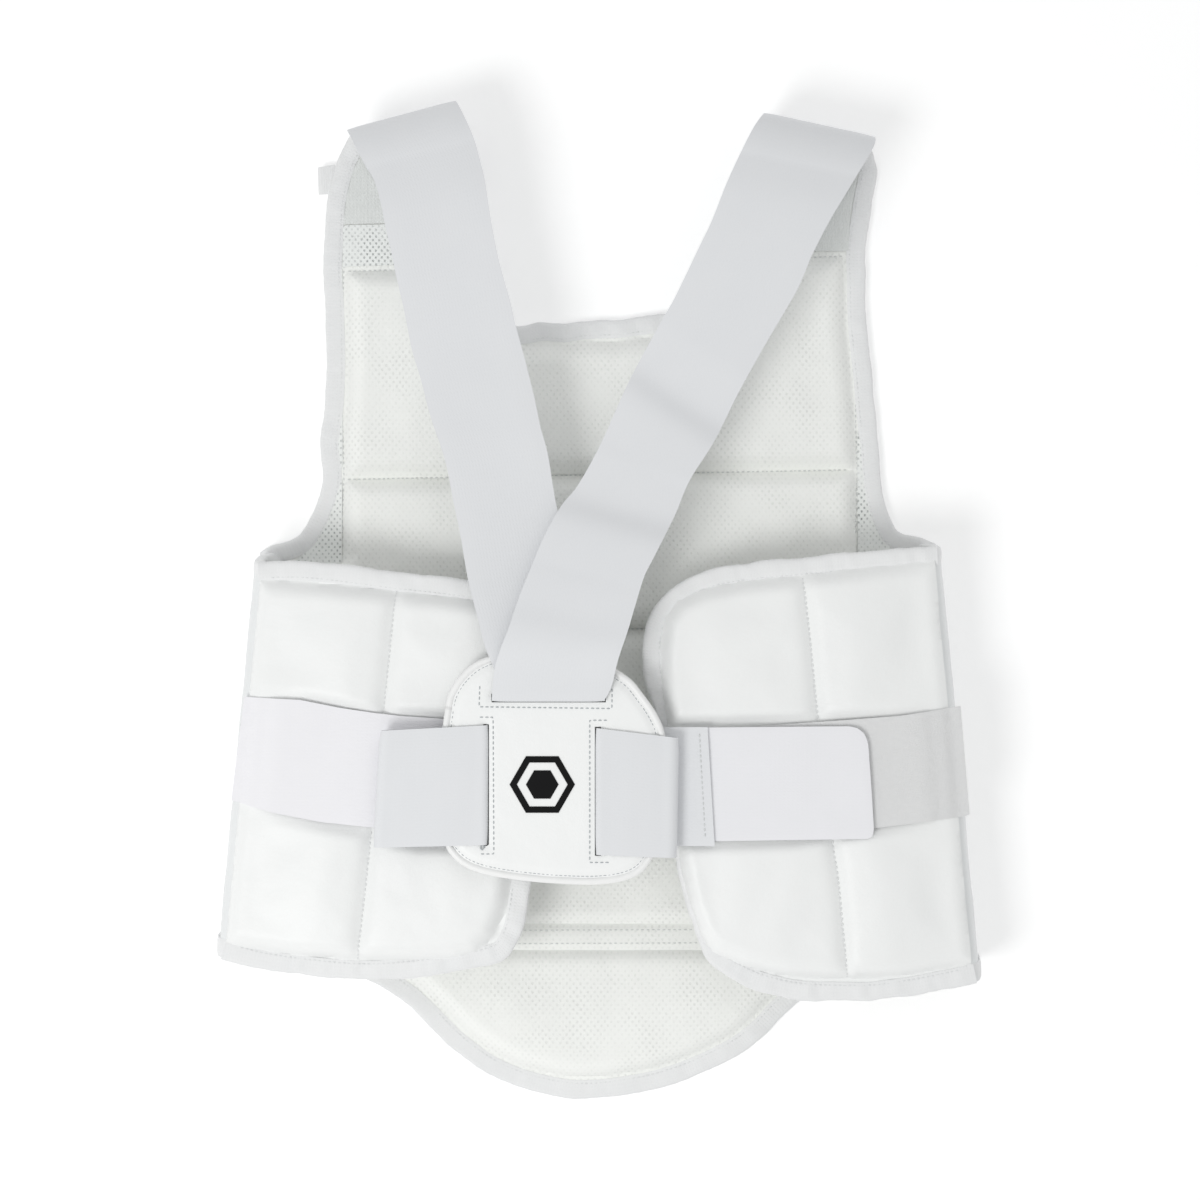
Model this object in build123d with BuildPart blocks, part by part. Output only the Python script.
from build123d import *
import os

os.makedirs("parts", exist_ok=True)

# ---------------------------------------------------------------------------
# Padded body protector, lying on its front with the back harness uppermost.
# Millimetres, +Z up, +Y towards the shoulders, +X to the right of the back.
# Origin: centre of the bounding box in plan, on the surface it lies on.
# ---------------------------------------------------------------------------

# ---- driving dimensions ----
OX, OY = 0.5, -2.1            # plan offset that centres the part
STRAP_T = 1.5                 # woven elastic thickness
TAPE_W = 10.0                 # binding tape width
TAPE_WEB = 1.5                # binding fold thickness at the edge
COVER_FLAT = 1.5              # flat skin that lies on the floor
COVER_TOP = 3.0
FOAM_Z0, FOAM_Z1 = 3.2, 15.0  # front foam blocks
LINING_Z0, LINING_Z1 = 3.2, 4.5
LINING_CAP = 16.5
TAPE_Z1 = 6.0
FOLD_T = 5.0                  # doubled cloth at the side turn
SPLIT_LO, SPLIT_HI = 33.85, 34.15   # where the side turn and strap turn part
WING_LINE0, WING_LINE1 = 50.0, 51.5
WING_BASE0, WING_BASE1 = 51.8, 53.0
WING_PAD1 = 60.5
WING_CAP = 61.8
WTAPE_Z0, WTAPE_Z1 = 48.9, 54.4
BAND_Z0 = 62.1
HOOK_Z0, HOOK_Z1 = 63.9, 64.9
TAB_Z0, TAB_Z1 = 65.1, 66.6
TURN1_Z0 = 66.0               # strap run stitched to the tab
TURN2_Z0 = 68.6               # strap run behind the plate
PLATE_Z0 = 70.5
BACKING_Z1 = 71.7
PFOAM_Z0, PFOAM_Z1 = 71.9, 75.3
FACE_Z0, FACE_Z1 = 75.5, 76.7
PIPING_Z1 = 77.1
OVER_Z0 = 77.4                # first strap layer over the plate
OVER2_Z0 = 79.4               # second strap layer over the plate
TURN_R = 27.7                 # outer radius of the shoulder strap turn


def S(points):
    return [(x - OX, y - OY) for x, y in points]


# ---- plan outlines ----
FRONT = S([
    (-82, 258), (-138.3, 246), (-143.1, 236.5), (-147.4, 218.7), (-148.5, 205.2), (-149.1, 191.7),
    (-149.6, 180.1), (-148.5, 158.3), (-148, 139.2), (-148, 120.1), (-149, 103.7), (-151.2, 88.4),
    (-150.6, 77.2), (-149.8, 67.9), (-151.9, 56), (-156.2, 45.1), (-161.2, 37), (-167.8, 32.6),
    (-178.3, 29.3), (-184.2, 25.5), (-204.1, -187.4), (-185, -192), (-160, -197), (-135, -203.5),
    (-121.8, -208.5), (-108.1, -217.2), (-94.5, -229.2), (-80.8, -242.9), (-64.4, -255.4),
    (-48.1, -263.6), (-31.7, -268.5), (-15.3, -271.3), (1.1, -271.3), (17.4, -269.1), (33.8, -265.8),
    (55.6, -258.2), (77.5, -247.2), (91.1, -236.9), (102, -225.4), (112.9, -217.2), (130, -211),
    (150, -206.5), (180, -202.5), (205.1, -198.2), (183.9, 30.4), (176, 33.7), (164.1, 36.4),
    (158.6, 44.6), (155.4, 57.1), (153.2, 70.6), (152.2, 87.3), (150.6, 103.7), (149.5, 117.3),
    (147.9, 133.7), (146.2, 150.1), (145.7, 169.2), (145.2, 185.8), (145.8, 194.4), (147.9, 207.9),
    (149.5, 218.7), (152.2, 232.2), (150, 242.5), (92, 254), (84, 226), (76, 197), (68, 177),
    (64.4, 168.1), (58.4, 161), (50.2, 157.2), (36.5, 155.6), (22.9, 154.5), (9.2, 152.8),
    (-7.1, 152.3), (-18.1, 150.6), (-29, 151.2), (-42.6, 149.5), (-50.8, 150.1), (-59, 153.9),
    (-64.4, 163.7), (-67, 185), (-72, 215),
])
SIDE_L = S([(-184.2, 25.5), (-204.1, -187.4)])     # outermost line of the left side turn
SIDE_R = S([(183.9, 30.4), (205.1, -198.2)])       # outermost line of the right side turn
FOLD_L = [SIDE_L[0], SIDE_L[1], (SIDE_L[1][0] + FOLD_T, SIDE_L[1][1]), (SIDE_L[0][0] + FOLD_T, SIDE_L[0][1])]
FOLD_R = [SIDE_R[0], SIDE_R[1], (SIDE_R[1][0] - FOLD_T, SIDE_R[1][1]), (SIDE_R[0][0] - FOLD_T, SIDE_R[0][1])]
CLEAR_L = [(FOLD_L[0][0] - 9, 60), (FOLD_L[1][0] - 9, -230), (FOLD_L[2][0] - 3.7 + 0.3 + 0.0, -230), (FOLD_L[3][0] + 3.4, 60)]
CLEAR_R = [(FOLD_R[0][0] + 9, 60), (FOLD_R[1][0] + 9, -230), (FOLD_R[2][0] + 3.0, -230), (FOLD_R[3][0] - 3.4, 60)]

WING_L = S([
    (-179.4, 20.1), (-157.7, 20.6), (-131.2, 18), (-107.4, 14.8), (-83.6, 12.2), (-62.4, 9.5), (-46.6, 5.3),
    (-36, -1.1), (-29.1, -10.6), (-25.9, -23.8), (-25.4, -37), (-27, -52.9), (-29.1, -79.4),
    (-30.7, -105.8), (-33.3, -132.3), (-37, -156.1), (-40.2, -174.6), (-46.6, -186.8), (-54.5, -191.5),
    (-67.7, -194.7), (-88.9, -198.4), (-112.7, -200.5), (-131.2, -200.5), (-157.7, -197.9),
    (-178.8, -194.7), (-199.2, -189.4),
])
WING_R = S([
    (179, 28), (161.4, 27), (133.3, 24.3), (106.9, 22.2), (80.4, 19.6), (59.2, 15.9), (44.4, 9.5),
    (33.3, 0.5), (26.4, -10.6), (23.8, -23.8), (23.8, -34.4), (26.4, -47.6), (30.7, -63.5),
    (34.9, -84.6), (38.1, -105.8), (40.2, -132.3), (43.4, -148.1), (48.1, -164), (53.4, -178.8),
    (57.7, -190.5), (65.6, -197.3), (77.8, -203.7), (92, -208.4), (106.9, -211.1), (128, -212.1),
    (149.2, -211.6), (175.6, -207.4), (200.1, -202.1),
])
PAD_LO = S([
    (-172.5, 7.5), (-110.5, 1.6), (-114.7, -31.6), (-120, -79), (-124.8, -137), (-129.2, -184),
    (-157, -182.6), (-185.5, -178.8), (-190.5, -177),
])
PAD_LI = S([
    (-104.4, 1.6), (-66.9, -3.2), (-50.6, -7.8), (-43.1, -21.6), (-41, -52.7), (-44.2, -94.9),
    (-47.3, -131.7), (-52, -160.1), (-58.3, -175), (-65.2, -181.6), (-75.6, -184), (-104.3, -184.6),
    (-123, -184.6), (-118.5, -137), (-113.8, -79), (-108.6, -31.6),
])
PAD_RI = S([
    (105.2, 8.8), (80.5, 6.5), (57.3, 2.3), (44.8, -2.9), (37.8, -11.5), (36.3, -26.5), (37.3, -47),
    (41, -73.4), (44.2, -105), (46.3, -136.6), (50.4, -160), (55.4, -172.6), (62.6, -181.6),
    (78.1, -187.8), (98.8, -192.5), (126, -193), (121.6, -150), (112.5, -50),
])
PAD_RO = S([
    (172.5, 18), (143.3, 13.4), (112.4, 9.4), (118.6, -50), (127.8, -150), (132.5, -193), (159, -191),
    (191.5, -185.4),
])
BAND_L = S([
    (-180, -51.3), (-156.5, -52.5), (-135.5, -56.7), (-117.1, -59.4), (-104, -60.9), (-80.4, -62.5),
    (-41, -64.1), (-41, -125), (-93.5, -120.8), (-120.8, -119.2), (-146, -116.6), (-172.3, -111.4),
    (-189.5, -106.5),
])
BAND_R = S([
    (185.5, -56.5), (158.6, -60.9), (115.6, -64.1), (61.5, -67.8), (59.9, -127.1), (106.1, -125),
    (145, -119.8), (158.6, -118.2), (190.5, -114.5),
])
TAB = S([
    (58.4, -67.1), (132.1, -66.6), (138.4, -69.2), (141.6, -76), (143.7, -104.9), (144.5, -122.5),
    (142.6, -124.9), (62, -126.3),
])
HOOK = S([(66, -71), (130, -70.6), (136.5, -76), (139.5, -120.5), (69.3, -122)])
TURN1_R = S([(9, -65.4), (36.2, -66.5), (55.5, -66.5), (59.2, -128.9), (41.4, -129.4), (9, -130.8)])
PLATE = S([
    (-79.6, -55.2), (-77, -46.8), (-71.8, -39), (-64, -32.3), (-53.6, -28.1), (-40.6, -26),
    (-19.8, -26), (-1.6, -29.1), (8.9, -35.4), (17.7, -41.6), (24.5, -50), (30.2, -58.3),
    (34.4, -67.7), (36.4, -80.7), (36.4, -104.1), (34.4, -122.3), (29.7, -132.7), (23.4, -141.6),
    (14.1, -146.3), (1.1, -148.3), (-14.6, -148.3), (-35.4, -146.8), (-56.2, -143.7), (-68.7, -139.5),
    (-76, -133.8), (-80.1, -126), (-82.2, -104.1), (-82.2, -78.1),
])
SHOULDER_R = S([
    (89.4, 260.6), (80.6, 246.6), (68.3, 220.7), (59.8, 199.3), (53.5, 186.2), (41, 160.3),
    (35.2, 149.9), (22.1, 126.3), (14.2, 110.5), (1.1, 81.4), (-10.5, 60.3), (-18.8, 49.7),
    (-27.7, 33.9), (-35.4, 15.6), (-41.5, 0), (-46.6, -15.5), (-50.7, -25.9), (-53.9, -37.3),
    (-55.6, -52.9), (4, -52.9), (7.3, -44.1), (10.4, -31.1), (15.6, -15.5), (20.2, 0), (24.4, 13),
    (29.7, 23.4), (40.3, 44.4), (48.2, 62.9), (61.5, 84.1), (74.7, 110.5), (89.4, 136.8),
    (104.6, 162.9), (112.3, 181), (121.7, 199.3), (129.6, 212.4), (137.8, 226.1), (144.4, 237.1),
    (147.6, 243.4), (147, 248.2),
])
SHOULDER_L = S([
    (-134.5, 251.5), (-131.5, 246.5), (-127, 237.1), (-122.1, 228.9), (-117.7, 220.7),
    (-114.3, 209.7), (-111.7, 196.7), (-108.1, 181), (-106.1, 170.7), (-102, 152.5), (-97.9, 131.6),
    (-93.2, 115.8), (-88.4, 97.3), (-80.5, 73.6), (-76.2, 52.5), (-72.3, 34.1), (-67.9, 10.4),
    (-64.1, -5.2), (-61.3, -26), (-58, -51), (3, -51), (-1, -31.2), (-6.2, -10.4), (-11.5, 10.4),
    (-16.8, 31.4), (-22.1, 50.9), (-26.3, 76.3), (-30.5, 92.1), (-33.2, 105.3), (-38.4, 126.3),
    (-43.1, 143.6), (-46.3, 157.7), (-52, 178.4), (-56.1, 199.3), (-59.4, 220.7), (-62.1, 231.6),
    (-64.4, 240.3), (-68, 249.6), (-73.9, 262.2), (-76.6, 267.1),
])
# height of the top of each shoulder strap along its run, from the turn to the plate
RUN_R = [(27.7, 61.85), (48, 66), (76.3, 65), (104.5, 62), (133.3, 60), (162.2, 60), (191.2, 63),
         (219.7, 68), (248.6, 75), (276, 82), (300, 86), (318, 81.2), (326, 80.9), (347, 80.9)]
RUN_L = [(27.7, 61.85), (53.4, 66), (80, 65), (106.5, 62), (133, 60), (160, 60), (181.8, 61),
         (214.4, 63), (241.9, 68), (268.5, 74), (292, 78.7), (302, 78.9), (340, 78.9)]
# plan frames of the straps: fold line start, direction down the strap
PR = S([(89.4, 260.6)])[0]
VR = (-0.2116, -0.9774)
PL = S([(-134.5, 251.5)])[0]
VL = (0.2602, -0.9656)
SEAM_GAP = 3.0


def strap_plane(p, v):
    return Plane(origin=(p[0], p[1], 0), x_dir=(v[0], v[1], 0), z_dir=(v[1], -v[0], 0))


def band(y0, m0, y1, m1):
    """A strip across the front panel between two stitched seam lines."""
    return S([(-230, y0 - 230 * m0), (230, y0 + 230 * m0), (230, y1 + 230 * m1), (-230, y1 - 230 * m1)])


BAND_CHEST = band(68.3 + SEAM_GAP, 0.019, 183.2 - SEAM_GAP, 0.0305)
BAND_UPPER = band(-15.8 + SEAM_GAP, 0.004, 68.3 - SEAM_GAP, 0.019)
BAND_LOWER = band(-100.3 + SEAM_GAP, 0.0, -15.8 - SEAM_GAP, 0.004)
BAND_WAIST = band(-182.7 + SEAM_GAP, 0.004, -100.3 - SEAM_GAP, 0.0)
BAND_ABD = band(-300, 0.0, -182.7 - SEAM_GAP, 0.004)
FOAM_INSET = -17.0
PAD_CLEAR = -(TAPE_W + 2.2)     # pads stay inside the binding of the wings

# ---------------------------------------------------------------------------
# Front panel (root body)
# ---------------------------------------------------------------------------
with BuildPart() as front_cover:
    with BuildSketch(Plane.XY):
        Polygon(*FRONT, align=None)
        offset(amount=-(TAPE_W + 0.8), mode=Mode.REPLACE)
    extrude(amount=COVER_FLAT)
    with BuildSketch(Plane.XY.offset(COVER_FLAT)):
        Polygon(*FRONT, align=None)
        offset(amount=-(TAPE_WEB + 0.3), mode=Mode.REPLACE)
    extrude(amount=COVER_TOP - COVER_FLAT)
front_cover.part.label = "front_cover"
export_step(front_cover.part, "parts/front_cover.step")

with BuildPart() as chest_foam:
    with BuildSketch(Plane.XY.offset(FOAM_Z0)):
        Polygon(*FRONT, align=None)
        offset(amount=FOAM_INSET, mode=Mode.REPLACE)
        Polygon(*BAND_CHEST, align=None, mode=Mode.INTERSECT)
    extrude(amount=FOAM_Z1 - FOAM_Z0)
chest_foam.part.label = "chest_foam"
export_step(chest_foam.part, "parts/chest_foam.step")

with BuildPart() as upper_rib_foam:
    with BuildSketch(Plane.XY.offset(FOAM_Z0)):
        Polygon(*FRONT, align=None)
        offset(amount=FOAM_INSET, mode=Mode.REPLACE)
        Polygon(*BAND_UPPER, align=None, mode=Mode.INTERSECT)
    extrude(amount=FOAM_Z1 - FOAM_Z0)
upper_rib_foam.part.label = "upper_rib_foam"
export_step(upper_rib_foam.part, "parts/upper_rib_foam.step")

with BuildPart() as lower_rib_foam:
    with BuildSketch(Plane.XY.offset(FOAM_Z0)):
        Polygon(*FRONT, align=None)
        offset(amount=FOAM_INSET, mode=Mode.REPLACE)
        Polygon(*BAND_LOWER, align=None, mode=Mode.INTERSECT)
    extrude(amount=FOAM_Z1 - FOAM_Z0)
lower_rib_foam.part.label = "lower_rib_foam"
export_step(lower_rib_foam.part, "parts/lower_rib_foam.step")

with BuildPart() as waist_foam:
    with BuildSketch(Plane.XY.offset(FOAM_Z0)):
        Polygon(*FRONT, align=None)
        offset(amount=FOAM_INSET, mode=Mode.REPLACE)
        Polygon(*BAND_WAIST, align=None, mode=Mode.INTERSECT)
    extrude(amount=FOAM_Z1 - FOAM_Z0)
waist_foam.part.label = "waist_foam"
export_step(waist_foam.part, "parts/waist_foam.step")

with BuildPart() as abdomen_foam:
    with BuildSketch(Plane.XY.offset(FOAM_Z0)):
        Polygon(*FRONT, align=None)
        offset(amount=FOAM_INSET, mode=Mode.REPLACE)
        Polygon(*BAND_ABD, align=None, mode=Mode.INTERSECT)
    extrude(amount=FOAM_Z1 - FOAM_Z0)
abdomen_foam.part.label = "abdomen_foam"
export_step(abdomen_foam.part, "parts/abdomen_foam.step")

# quilted inner lining: an edge skin with a raised pocket over every foam block
with BuildPart() as inner_lining:
    with BuildSketch(Plane.XY.offset(LINING_Z0)):
        Polygon(*FRONT, align=None)
        offset(amount=-(TAPE_WEB + 0.3), mode=Mode.REPLACE)
        Polygon(*CLEAR_L, align=None, mode=Mode.SUBTRACT)
        Polygon(*CLEAR_R, align=None, mode=Mode.SUBTRACT)
    extrude(amount=LINING_Z1 - LINING_Z0)
    for strip in (BAND_CHEST, BAND_UPPER, BAND_LOWER, BAND_WAIST, BAND_ABD):
        with BuildSketch(Plane.XY.offset(LINING_Z0)):
            Polygon(*FRONT, align=None)
            offset(amount=FOAM_INSET, mode=Mode.REPLACE)
            Polygon(*strip, align=None, mode=Mode.INTERSECT)
            offset(amount=1.6, mode=Mode.REPLACE)
        extrude(amount=LINING_CAP - LINING_Z0)
    for strip in (BAND_CHEST, BAND_UPPER, BAND_LOWER, BAND_WAIST, BAND_ABD):
        with BuildSketch(Plane.XY.offset(LINING_Z0 - 0.5)):
            Polygon(*FRONT, align=None)
            offset(amount=FOAM_INSET, mode=Mode.REPLACE)
            Polygon(*strip, align=None, mode=Mode.INTERSECT)
            offset(amount=0.3, mode=Mode.REPLACE)
        extrude(amount=FOAM_Z1 + 0.2 - LINING_Z0 + 0.5, mode=Mode.SUBTRACT)
inner_lining.part.label = "inner_lining"
export_step(inner_lining.part, "parts/inner_lining.step")

with BuildPart() as left_yoke_facing:
    with BuildSketch(Plane.XY.offset(4.6)):
        Polygon(*FRONT, align=None)
        offset(amount=-(TAPE_W + 0.8), mode=Mode.REPLACE)
        Polygon(*S([(-200, 204), (-20, 204), (-20, 300), (-200, 300)]), align=None, mode=Mode.INTERSECT)
    extrude(amount=1.3)
left_yoke_facing.part.label = "left_yoke_facing"
export_step(left_yoke_facing.part, "parts/left_yoke_facing.step")

with BuildPart() as right_yoke_facing:
    with BuildSketch(Plane.XY.offset(4.6)):
        Polygon(*FRONT, align=None)
        offset(amount=-(TAPE_W + 0.8), mode=Mode.REPLACE)
        Polygon(*S([(20, 210), (200, 214), (200, 300), (20, 300)]), align=None, mode=Mode.INTERSECT)
    extrude(amount=1.3)
right_yoke_facing.part.label = "right_yoke_facing"
export_step(right_yoke_facing.part, "parts/right_yoke_facing.step")

# binding tapes: folded channels that wrap the edges of the cover and lining
NECK_ZONE = S([(-70, 140), (70, 145), (110, 300), (-100, 300)])
ARM_L_ZONE = S([(-240, 27.5), (-120, 27.5), (-120, 300), (-240, 300)])
ARM_R_ZONE = S([(240, 32.5), (120, 32.5), (120, 300), (240, 300)])
HEM_ZONE = S([(-195.5, -170), (-195.5, -300), (196, -300), (196, -170)])

with BuildPart() as neck_binding:
    with BuildSketch(Plane.XY.offset(0.2)):
        Polygon(*FRONT, align=None)
        Polygon(*NECK_ZONE, align=None, mode=Mode.INTERSECT)
    extrude(amount=TAPE_Z1 - 0.2)
    with BuildSketch(Plane.XY):
        Polygon(*FRONT, align=None)
        offset(amount=-TAPE_W, mode=Mode.REPLACE)
    extrude(amount=20, mode=Mode.SUBTRACT)
    with BuildSketch(Plane.XY.offset(1.4)):
        Polygon(*FRONT, align=None)
        offset(amount=-TAPE_WEB, mode=Mode.REPLACE)
    extrude(amount=3.25, mode=Mode.SUBTRACT)
neck_binding.part.label = "neck_binding"
export_step(neck_binding.part, "parts/neck_binding.step")

with BuildPart() as left_armhole_binding:
    with BuildSketch(Plane.XY.offset(0.2)):
        Polygon(*FRONT, align=None)
        Polygon(*ARM_L_ZONE, align=None, mode=Mode.INTERSECT)
        Polygon(*NECK_ZONE, align=None, mode=Mode.SUBTRACT)
    extrude(amount=TAPE_Z1 - 0.2)
    with BuildSketch(Plane.XY):
        Polygon(*FRONT, align=None)
        offset(amount=-TAPE_W, mode=Mode.REPLACE)
    extrude(amount=20, mode=Mode.SUBTRACT)
    with BuildSketch(Plane.XY.offset(1.4)):
        Polygon(*FRONT, align=None)
        offset(amount=-TAPE_WEB, mode=Mode.REPLACE)
    extrude(amount=3.25, mode=Mode.SUBTRACT)
left_armhole_binding.part.label = "left_armhole_binding"
export_step(left_armhole_binding.part, "parts/left_armhole_binding.step")

with BuildPart() as right_armhole_binding:
    with BuildSketch(Plane.XY.offset(0.2)):
        Polygon(*FRONT, align=None)
        Polygon(*ARM_R_ZONE, align=None, mode=Mode.INTERSECT)
        Polygon(*NECK_ZONE, align=None, mode=Mode.SUBTRACT)
    extrude(amount=TAPE_Z1 - 0.2)
    with BuildSketch(Plane.XY):
        Polygon(*FRONT, align=None)
        offset(amount=-TAPE_W, mode=Mode.REPLACE)
    extrude(amount=20, mode=Mode.SUBTRACT)
    with BuildSketch(Plane.XY.offset(1.4)):
        Polygon(*FRONT, align=None)
        offset(amount=-TAPE_WEB, mode=Mode.REPLACE)
    extrude(amount=3.25, mode=Mode.SUBTRACT)
right_armhole_binding.part.label = "right_armhole_binding"
export_step(right_armhole_binding.part, "parts/right_armhole_binding.step")

with BuildPart() as hem_binding:
    with BuildSketch(Plane.XY.offset(0.2)):
        Polygon(*FRONT, align=None)
        Polygon(*HEM_ZONE, align=None, mode=Mode.INTERSECT)
    extrude(amount=TAPE_Z1 - 0.2)
    with BuildSketch(Plane.XY):
        Polygon(*FRONT, align=None)
        offset(amount=-TAPE_W, mode=Mode.REPLACE)
    extrude(amount=20, mode=Mode.SUBTRACT)
    with BuildSketch(Plane.XY.offset(1.4)):
        Polygon(*FRONT, align=None)
        offset(amount=-TAPE_WEB, mode=Mode.REPLACE)
    extrude(amount=3.25, mode=Mode.SUBTRACT)
hem_binding.part.label = "hem_binding"
export_step(hem_binding.part, "parts/hem_binding.step")

with BuildPart() as side_tag:
    with BuildSketch(Plane.XY.offset(6.2)):
        Polygon(*S([(-138.5, 237), (-150.3, 234.6), (-152.8, 224.2), (-140.5, 220.2)]), align=None)
    extrude(amount=0.6)
side_tag.part.label = "side_tag"
export_step(side_tag.part, "parts/side_tag.step")

# lower halves of the cloth turns at the wearer's sides
with BuildPart() as left_side_fold:
    with BuildSketch(Plane.XY.offset(3.3)):
        Polygon(*FOLD_L, align=None)
        Polygon(*S([(-240, 24.5), (-150, 24.5), (-150, -186.5), (-240, -186.5)]), align=None, mode=Mode.INTERSECT)
    extrude(amount=SPLIT_LO - 3.3)
left_side_fold.part.label = "left_side_fold"
export_step(left_side_fold.part, "parts/left_side_fold.step")

with BuildPart() as right_side_fold:
    with BuildSketch(Plane.XY.offset(3.3)):
        Polygon(*FOLD_R, align=None)
        Polygon(*S([(240, 29.5), (150, 29.5), (150, -197.4), (240, -197.4)]), align=None, mode=Mode.INTERSECT)
    extrude(amount=SPLIT_LO - 3.3)
right_side_fold.part.label = "right_side_fold"
export_step(right_side_fold.part, "parts/right_side_fold.step")

# sewn-down lower halves of the shoulder strap turns
with BuildPart() as left_strap_anchor:
    with BuildSketch(strap_plane(PL, VL)):
        with BuildLine():
            CenterArc((TURN_R, SPLIT_LO), TURN_R, 180, 90)
            CenterArc((TURN_R, SPLIT_LO), TURN_R - STRAP_T, 180, 90)
            Polyline((0, SPLIT_LO), (STRAP_T, SPLIT_LO))
            Polyline((TURN_R, SPLIT_LO - TURN_R), (TURN_R + 18, SPLIT_LO - TURN_R),
                     (TURN_R + 18, SPLIT_LO - TURN_R + STRAP_T), (TURN_R, SPLIT_LO - TURN_R + STRAP_T))
        make_face()
    extrude(amount=150, both=True)
    with BuildSketch(Plane.XY):
        Polygon(*SHOULDER_L, align=None)
    extrude(amount=120, mode=Mode.INTERSECT)
left_strap_anchor.part.label = "left_strap_anchor"
export_step(left_strap_anchor.part, "parts/left_strap_anchor.step")

with BuildPart() as right_strap_anchor:
    with BuildSketch(strap_plane(PR, VR)):
        with BuildLine():
            CenterArc((TURN_R, SPLIT_LO), TURN_R, 180, 90)
            CenterArc((TURN_R, SPLIT_LO), TURN_R - STRAP_T, 180, 90)
            Polyline((0, SPLIT_LO), (STRAP_T, SPLIT_LO))
            Polyline((TURN_R, SPLIT_LO - TURN_R), (TURN_R + 18, SPLIT_LO - TURN_R),
                     (TURN_R + 18, SPLIT_LO - TURN_R + STRAP_T), (TURN_R, SPLIT_LO - TURN_R + STRAP_T))
        make_face()
    extrude(amount=150, both=True)
    with BuildSketch(Plane.XY):
        Polygon(*SHOULDER_R, align=None)
    extrude(amount=120, mode=Mode.INTERSECT)
right_strap_anchor.part.label = "right_strap_anchor"
export_step(right_strap_anchor.part, "parts/right_strap_anchor.step")

# ---------------------------------------------------------------------------
# Left wing
# ---------------------------------------------------------------------------
with BuildPart() as left_wing_fold:
    with BuildSketch(Plane.XY.offset(SPLIT_HI)):
        Polygon(*FOLD_L, align=None)
        Polygon(*S([(-240, 20), (-150, 20), (-150, -186.5), (-240, -186.5)]), align=None, mode=Mode.INTERSECT)
    extrude(amount=WING_BASE1 - SPLIT_HI)
left_wing_fold.part.label = "left_wing_fold"
export_step(left_wing_fold.part, "parts/left_wing_fold.step")

with BuildPart() as left_wing_lining:
    with BuildSketch(Plane.XY.offset(WING_LINE0)):
        Polygon(*WING_L, align=None)
        offset(amount=-(TAPE_WEB + 0.3), mode=Mode.REPLACE)
    extrude(amount=WING_LINE1 - WING_LINE0)
left_wing_lining.part.label = "left_wing_lining"
export_step(left_wing_lining.part, "parts/left_wing_lining.step")

with BuildPart() as left_outer_pad:
    with BuildSketch(Plane.XY.offset(WING_BASE0)):
        Polygon(*WING_L, align=None)
        offset(amount=PAD_CLEAR, mode=Mode.REPLACE)
        Polygon(*PAD_LO, align=None, mode=Mode.INTERSECT)
    extrude(amount=WING_PAD1 - WING_BASE0)
left_outer_pad.part.label = "left_outer_pad"
export_step(left_outer_pad.part, "parts/left_outer_pad.step")

with BuildPart() as left_inner_pad:
    with BuildSketch(Plane.XY.offset(WING_BASE0)):
        Polygon(*WING_L, align=None)
        offset(amount=PAD_CLEAR, mode=Mode.REPLACE)
        Polygon(*PAD_LI, align=None, mode=Mode.INTERSECT)
    extrude(amount=WING_PAD1 - WING_BASE0)
left_inner_pad.part.label = "left_inner_pad"
export_step(left_inner_pad.part, "parts/left_inner_pad.step")

with BuildPart() as left_wing_cover:
    with BuildSketch(Plane.XY.offset(WING_BASE0)):
        Polygon(*WING_L, align=None)
        offset(amount=-(TAPE_WEB + 0.3), mode=Mode.REPLACE)
    extrude(amount=WING_BASE1 - WING_BASE0)
    for pad in (PAD_LO, PAD_LI):
        with BuildSketch(Plane.XY.offset(WING_BASE0)):
            Polygon(*WING_L, align=None)
            offset(amount=PAD_CLEAR, mode=Mode.REPLACE)
            Polygon(*pad, align=None, mode=Mode.INTERSECT)
            offset(amount=1.5, mode=Mode.REPLACE)
        extrude(amount=WING_CAP - WING_BASE0)
    for pad in (PAD_LO, PAD_LI):
        with BuildSketch(Plane.XY.offset(WING_BASE0 - 0.5)):
            Polygon(*WING_L, align=None)
            offset(amount=PAD_CLEAR, mode=Mode.REPLACE)
            Polygon(*pad, align=None, mode=Mode.INTERSECT)
            offset(amount=0.25, mode=Mode.REPLACE)
        extrude(amount=WING_PAD1 + 0.2 - WING_BASE0 + 0.5, mode=Mode.SUBTRACT)
left_wing_cover.part.label = "left_wing_cover"
export_step(left_wing_cover.part, "parts/left_wing_cover.step")

with BuildPart() as left_wing_binding:
    with BuildSketch(Plane.XY.offset(WTAPE_Z0)):
        Polygon(*WING_L, align=None)
        Polygon(*CLEAR_L, align=None, mode=Mode.SUBTRACT)
    extrude(amount=WTAPE_Z1 - WTAPE_Z0)
    with BuildSketch(Plane.XY.offset(WTAPE_Z0)):
        Polygon(*WING_L, align=None)
        offset(amount=-TAPE_W, mode=Mode.REPLACE)
        Polygon(*S([(-260, 2), (-160, 8), (-160, -186), (-260, -176)]), align=None)
    extrude(amount=20, mode=Mode.SUBTRACT)
    with BuildSketch(Plane.XY.offset(WING_LINE0 - 0.1)):
        Polygon(*WING_L, align=None)
        offset(amount=-TAPE_WEB, mode=Mode.REPLACE)
    extrude(amount=WING_BASE1 + 0.2 - WING_LINE0, mode=Mode.SUBTRACT)
left_wing_binding.part.label = "left_wing_binding"
export_step(left_wing_binding.part, "parts/left_wing_binding.step")

with BuildPart() as left_band:
    with BuildSketch(Plane.XY.offset(BAND_Z0)):
        Polygon(*BAND_L, align=None)
    extrude(amount=STRAP_T)
left_band.part.label = "left_band"
export_step(left_band.part, "parts/left_band.step")

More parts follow.
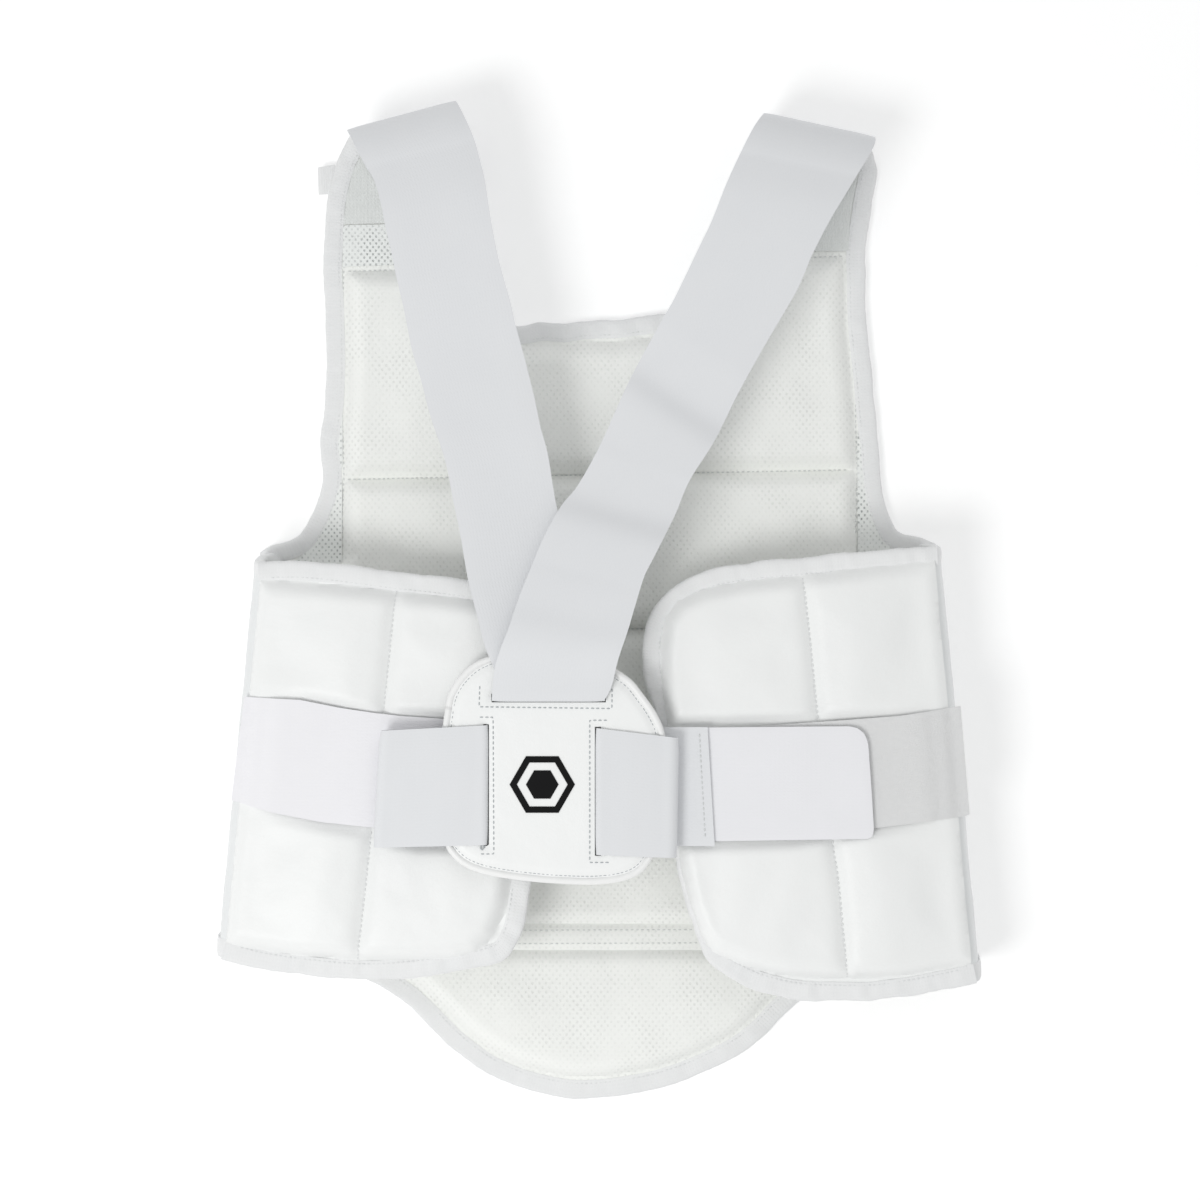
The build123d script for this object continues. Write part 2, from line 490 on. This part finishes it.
# ---------------------------------------------------------------------------
# Right wing
# ---------------------------------------------------------------------------
with BuildPart() as right_wing_fold:
    with BuildSketch(Plane.XY.offset(SPLIT_HI)):
        Polygon(*FOLD_R, align=None)
        Polygon(*S([(240, 27.5), (150, 27.5), (150, -197.4), (240, -197.4)]), align=None, mode=Mode.INTERSECT)
    extrude(amount=WING_BASE1 - SPLIT_HI)
right_wing_fold.part.label = "right_wing_fold"
export_step(right_wing_fold.part, "parts/right_wing_fold.step")

with BuildPart() as right_wing_lining:
    with BuildSketch(Plane.XY.offset(WING_LINE0)):
        Polygon(*WING_R, align=None)
        offset(amount=-(TAPE_WEB + 0.3), mode=Mode.REPLACE)
    extrude(amount=WING_LINE1 - WING_LINE0)
right_wing_lining.part.label = "right_wing_lining"
export_step(right_wing_lining.part, "parts/right_wing_lining.step")

with BuildPart() as right_outer_pad:
    with BuildSketch(Plane.XY.offset(WING_BASE0)):
        Polygon(*WING_R, align=None)
        offset(amount=PAD_CLEAR, mode=Mode.REPLACE)
        Polygon(*PAD_RO, align=None, mode=Mode.INTERSECT)
    extrude(amount=WING_PAD1 - WING_BASE0)
right_outer_pad.part.label = "right_outer_pad"
export_step(right_outer_pad.part, "parts/right_outer_pad.step")

with BuildPart() as right_inner_pad:
    with BuildSketch(Plane.XY.offset(WING_BASE0)):
        Polygon(*WING_R, align=None)
        offset(amount=PAD_CLEAR, mode=Mode.REPLACE)
        Polygon(*PAD_RI, align=None, mode=Mode.INTERSECT)
    extrude(amount=WING_PAD1 - WING_BASE0)
right_inner_pad.part.label = "right_inner_pad"
export_step(right_inner_pad.part, "parts/right_inner_pad.step")

with BuildPart() as right_wing_cover:
    with BuildSketch(Plane.XY.offset(WING_BASE0)):
        Polygon(*WING_R, align=None)
        offset(amount=-(TAPE_WEB + 0.3), mode=Mode.REPLACE)
    extrude(amount=WING_BASE1 - WING_BASE0)
    for pad in (PAD_RO, PAD_RI):
        with BuildSketch(Plane.XY.offset(WING_BASE0)):
            Polygon(*WING_R, align=None)
            offset(amount=PAD_CLEAR, mode=Mode.REPLACE)
            Polygon(*pad, align=None, mode=Mode.INTERSECT)
            offset(amount=1.5, mode=Mode.REPLACE)
        extrude(amount=WING_CAP - WING_BASE0)
    for pad in (PAD_RO, PAD_RI):
        with BuildSketch(Plane.XY.offset(WING_BASE0 - 0.5)):
            Polygon(*WING_R, align=None)
            offset(amount=PAD_CLEAR, mode=Mode.REPLACE)
            Polygon(*pad, align=None, mode=Mode.INTERSECT)
            offset(amount=0.25, mode=Mode.REPLACE)
        extrude(amount=WING_PAD1 + 0.2 - WING_BASE0 + 0.5, mode=Mode.SUBTRACT)
right_wing_cover.part.label = "right_wing_cover"
export_step(right_wing_cover.part, "parts/right_wing_cover.step")

with BuildPart() as right_wing_binding:
    with BuildSketch(Plane.XY.offset(WTAPE_Z0)):
        Polygon(*WING_R, align=None)
        Polygon(*CLEAR_R, align=None, mode=Mode.SUBTRACT)
    extrude(amount=WTAPE_Z1 - WTAPE_Z0)
    with BuildSketch(Plane.XY.offset(WTAPE_Z0)):
        Polygon(*WING_R, align=None)
        offset(amount=-TAPE_W, mode=Mode.REPLACE)
        Polygon(*S([(260, 8), (160, 16.5), (160, -199), (260, -188)]), align=None)
    extrude(amount=20, mode=Mode.SUBTRACT)
    with BuildSketch(Plane.XY.offset(WING_LINE0 - 0.1)):
        Polygon(*WING_R, align=None)
        offset(amount=-TAPE_WEB, mode=Mode.REPLACE)
    extrude(amount=WING_BASE1 + 0.2 - WING_LINE0, mode=Mode.SUBTRACT)
right_wing_binding.part.label = "right_wing_binding"
export_step(right_wing_binding.part, "parts/right_wing_binding.step")

with BuildPart() as right_loop_band:
    with BuildSketch(Plane.XY.offset(BAND_Z0)):
        Polygon(*BAND_R, align=None)
    extrude(amount=STRAP_T)
right_loop_band.part.label = "right_loop_band"
export_step(right_loop_band.part, "parts/right_loop_band.step")

# ---------------------------------------------------------------------------
# Back harness: plate and straps
# ---------------------------------------------------------------------------
SLOT_TOP = S([(-59.2, -48.8), (5.6, -48.8), (5.6, -53.7), (-59.2, -53.7)])
SLOT_LEFT = S([(-59.6, -63.5), (-55.9, -63.5), (-55.9, -129), (-59.6, -129)])
SLOT_RIGHT = S([(-2.3, -64.8), (1.4, -64.8), (1.4, -134.4), (-2.3, -134.4)])

with BuildPart() as plate_backing:
    with BuildSketch(Plane.XY.offset(PLATE_Z0)):
        Polygon(*PLATE, align=None)
        offset(amount=-3.3, mode=Mode.REPLACE)
    extrude(amount=BACKING_Z1 - PLATE_Z0)
plate_backing.part.label = "plate_backing"
export_step(plate_backing.part, "parts/plate_backing.step")

with BuildPart() as plate_foam:
    with BuildSketch(Plane.XY.offset(PFOAM_Z0)):
        Polygon(*PLATE, align=None)
        offset(amount=-4.5, mode=Mode.REPLACE)
        Polygon(*SLOT_TOP, align=None, mode=Mode.SUBTRACT)
        Polygon(*SLOT_LEFT, align=None, mode=Mode.SUBTRACT)
        Polygon(*SLOT_RIGHT, align=None, mode=Mode.SUBTRACT)
    extrude(amount=PFOAM_Z1 - PFOAM_Z0)
plate_foam.part.label = "plate_foam"
export_step(plate_foam.part, "parts/plate_foam.step")

with BuildPart() as plate_face:
    with BuildSketch(Plane.XY.offset(FACE_Z0)):
        Polygon(*PLATE, align=None)
        offset(amount=-3.3, mode=Mode.REPLACE)
        Polygon(*SLOT_TOP, align=None, mode=Mode.SUBTRACT)
        Polygon(*SLOT_LEFT, align=None, mode=Mode.SUBTRACT)
        Polygon(*SLOT_RIGHT, align=None, mode=Mode.SUBTRACT)
    extrude(amount=FACE_Z1 - FACE_Z0)
plate_face.part.label = "plate_face"
export_step(plate_face.part, "parts/plate_face.step")

with BuildPart() as plate_piping:
    with BuildSketch(Plane.XY.offset(PLATE_Z0)):
        Polygon(*PLATE, align=None)
    extrude(amount=PIPING_Z1 - PLATE_Z0)
    with BuildSketch(Plane.XY.offset(PLATE_Z0)):
        Polygon(*PLATE, align=None)
        offset(amount=-3.0, mode=Mode.REPLACE)
    extrude(amount=20, mode=Mode.SUBTRACT)
plate_piping.part.label = "plate_piping"
export_step(plate_piping.part, "parts/plate_piping.step")

with BuildPart() as emblem:
    with BuildSketch(Plane.XY.offset(FACE_Z1 + 0.05)):
        with Locations(S([(-29, -96)])[0]):
            RegularPolygon(radius=17, side_count=6)
            RegularPolygon(radius=13.2, side_count=6, mode=Mode.SUBTRACT)
            RegularPolygon(radius=8.5, side_count=6)
    extrude(amount=0.5)
emblem.part.label = "emblem"
export_step(emblem.part, "parts/emblem.step")

with BuildPart() as left_shoulder_strap:
    with BuildSketch(strap_plane(PL, VL)):
        with BuildLine():
            CenterArc((TURN_R, SPLIT_HI), TURN_R, 180, -90)
            CenterArc((TURN_R, SPLIT_HI), TURN_R - STRAP_T, 180, -90)
            Polyline((0, SPLIT_HI), (STRAP_T, SPLIT_HI))
            Spline(*RUN_L, tangents=((1, 0), (1, 0)))
            Spline(*[(s, z - STRAP_T) for s, z in RUN_L], tangents=((1, 0), (1, 0)))
            Polyline(RUN_L[-1], (RUN_L[-1][0], RUN_L[-1][1] - STRAP_T))
        make_face()
    extrude(amount=150, both=True)
    with BuildSketch(Plane.XY):
        Polygon(*SHOULDER_L, align=None)
    extrude(amount=120, mode=Mode.INTERSECT)
    with BuildSketch(Plane.XY.offset(PFOAM_Z0 + 0.1)):
        Polygon(*S([(-56.5, -49.5), (2, -49.5), (2, -51), (-56.5, -51)]), align=None)
    extrude(amount=OVER_Z0 + 0.5 - PFOAM_Z0 - 0.1)
left_shoulder_strap.part.label = "left_shoulder_strap"
export_step(left_shoulder_strap.part, "parts/left_shoulder_strap.step")

with BuildPart() as right_shoulder_strap:
    with BuildSketch(strap_plane(PR, VR)):
        with BuildLine():
            CenterArc((TURN_R, SPLIT_HI), TURN_R, 180, -90)
            CenterArc((TURN_R, SPLIT_HI), TURN_R - STRAP_T, 180, -90)
            Polyline((0, SPLIT_HI), (STRAP_T, SPLIT_HI))
            Spline(*RUN_R, tangents=((1, 0), (1, 0)))
            Spline(*[(s, z - STRAP_T) for s, z in RUN_R], tangents=((1, 0), (1, 0)))
            Polyline(RUN_R[-1], (RUN_R[-1][0], RUN_R[-1][1] - STRAP_T))
        make_face()
    extrude(amount=150, both=True)
    with BuildSketch(Plane.XY):
        Polygon(*SHOULDER_R, align=None)
    extrude(amount=120, mode=Mode.INTERSECT)
    with BuildSketch(Plane.XY.offset(PFOAM_Z0 + 0.1)):
        Polygon(*S([(-55, -51.4), (3, -51.4), (3, -52.9), (-55, -52.9)]), align=None)
    extrude(amount=OVER2_Z0 + 0.5 - PFOAM_Z0 - 0.1)
right_shoulder_strap.part.label = "right_shoulder_strap"
export_step(right_shoulder_strap.part, "parts/right_shoulder_strap.step")

OVER_Z1 = OVER_Z0 + STRAP_T
SIDE_R_OUT = (OVER_Z1 - TURN2_Z0) / 2
SIDE_MID = (OVER_Z1 + TURN2_Z0) / 2

with BuildPart() as left_side_strap:
    with BuildSketch(strap_plane(S([(-113.4, -68.1)])[0], (0.99825, -0.0590))):
        with BuildLine():
            CenterArc((SIDE_R_OUT, SIDE_MID), SIDE_R_OUT, 90, 180)
            CenterArc((SIDE_R_OUT, SIDE_MID), SIDE_R_OUT - STRAP_T, 90, 180)
            Polyline((SIDE_R_OUT, OVER_Z1), (53, OVER_Z1), (53, OVER_Z0), (SIDE_R_OUT, OVER_Z0))
            Polyline((SIDE_R_OUT, TURN2_Z0), (66, TURN2_Z0), (66, TURN2_Z0 + STRAP_T), (SIDE_R_OUT, TURN2_Z0 + STRAP_T))
        make_face()
    extrude(amount=100, both=True)
    with BuildSketch(Plane.XY):
        Polygon(*S([(-45, -64.3), (-118, -68.35), (-121.6, -129.12), (-45, -127.1)]), align=None)
    extrude(amount=120, mode=Mode.INTERSECT)
    with BuildSketch(Plane.XY.offset(OVER_Z0)):
        Polygon(*S([(-64, -65.4), (-57, -65), (-57, -127.4), (-64, -127.6)]), align=None)
    extrude(amount=STRAP_T)
    with BuildSketch(Plane.XY.offset(PFOAM_Z0 + 0.1)):
        Polygon(*S([(-58.5, -65.1), (-57, -65), (-57, -127.4), (-58.5, -127.4)]), align=None)
    extrude(amount=OVER_Z0 + 0.5 - PFOAM_Z0 - 0.1)
left_side_strap.part.label = "left_side_strap"
export_step(left_side_strap.part, "parts/left_side_strap.step")

TURN2_END = 30.0
with BuildPart() as right_side_strap:
    with BuildSketch(strap_plane(S([(41.6, -71.8)])[0], (-0.99987, 0.0160))):
        with BuildLine():
            CenterArc((SIDE_R_OUT, SIDE_MID), SIDE_R_OUT, 90, 180)
            CenterArc((SIDE_R_OUT, SIDE_MID), SIDE_R_OUT - STRAP_T, 90, 180)
            Polyline((SIDE_R_OUT, OVER_Z1), (38, OVER_Z1), (38, OVER_Z0), (SIDE_R_OUT, OVER_Z0))
            Polyline((SIDE_R_OUT, TURN2_Z0), (TURN2_END, TURN2_Z0))
            Polyline((SIDE_R_OUT, TURN2_Z0 + STRAP_T), (TURN2_END, TURN2_Z0 + STRAP_T))
            CenterArc((TURN2_END, (TURN2_Z0 + STRAP_T + TURN1_Z0) / 2), (TURN2_Z0 + STRAP_T - TURN1_Z0) / 2, 90, -180)
            CenterArc((TURN2_END, (TURN2_Z0 + STRAP_T + TURN1_Z0) / 2), (TURN2_Z0 + STRAP_T - TURN1_Z0) / 2 - STRAP_T, 90, -180)
            Polyline((TURN2_END, TURN1_Z0), (TURN2_END - 2, TURN1_Z0), (TURN2_END - 2, TURN1_Z0 + STRAP_T), (TURN2_END, TURN1_Z0 + STRAP_T))
        make_face()
    extrude(amount=100, both=True)
    with BuildSketch(Plane.XY):
        Polygon(*S([(-1, -66.7), (46, -72.3), (45, -134.4), (-1, -132.6)]), align=None)
    extrude(amount=120, mode=Mode.INTERSECT)
    with BuildSketch(Plane.XY.offset(TURN1_Z0)):
        Polygon(*TURN1_R, align=None)
        Polygon(*S([(12.5, -60), (80, -60), (80, -140), (12.5, -140)]), align=None, mode=Mode.INTERSECT)
    extrude(amount=STRAP_T)
    with BuildSketch(Plane.XY.offset(OVER_Z0)):
        Polygon(*S([(-1.2, -66.7), (8, -67.8), (8, -133), (-1.2, -132.6)]), align=None)
    extrude(amount=STRAP_T)
    with BuildSketch(Plane.XY.offset(PFOAM_Z0 + 0.1)):
        Polygon(*S([(-1.2, -66.7), (0.3, -66.7), (0.3, -132.6), (-1.2, -132.6)]), align=None)
    extrude(amount=OVER_Z0 + 0.5 - PFOAM_Z0 - 0.1)
right_side_strap.part.label = "right_side_strap"
export_step(right_side_strap.part, "parts/right_side_strap.step")

# ---------------------------------------------------------------------------
# Peel-off closing tab
# ---------------------------------------------------------------------------
with BuildPart() as hook_tab:
    with BuildSketch(Plane.XY.offset(TAB_Z0)):
        Polygon(*TAB, align=None)
    extrude(amount=TAB_Z1 - TAB_Z0)
hook_tab.part.label = "hook_tab"
export_step(hook_tab.part, "parts/hook_tab.step")

with BuildPart() as hook_tape:
    with BuildSketch(Plane.XY.offset(HOOK_Z0)):
        Polygon(*HOOK, align=None)
    extrude(amount=HOOK_Z1 - HOOK_Z0)
hook_tape.part.label = "hook_tape"
export_step(hook_tape.part, "parts/hook_tape.step")
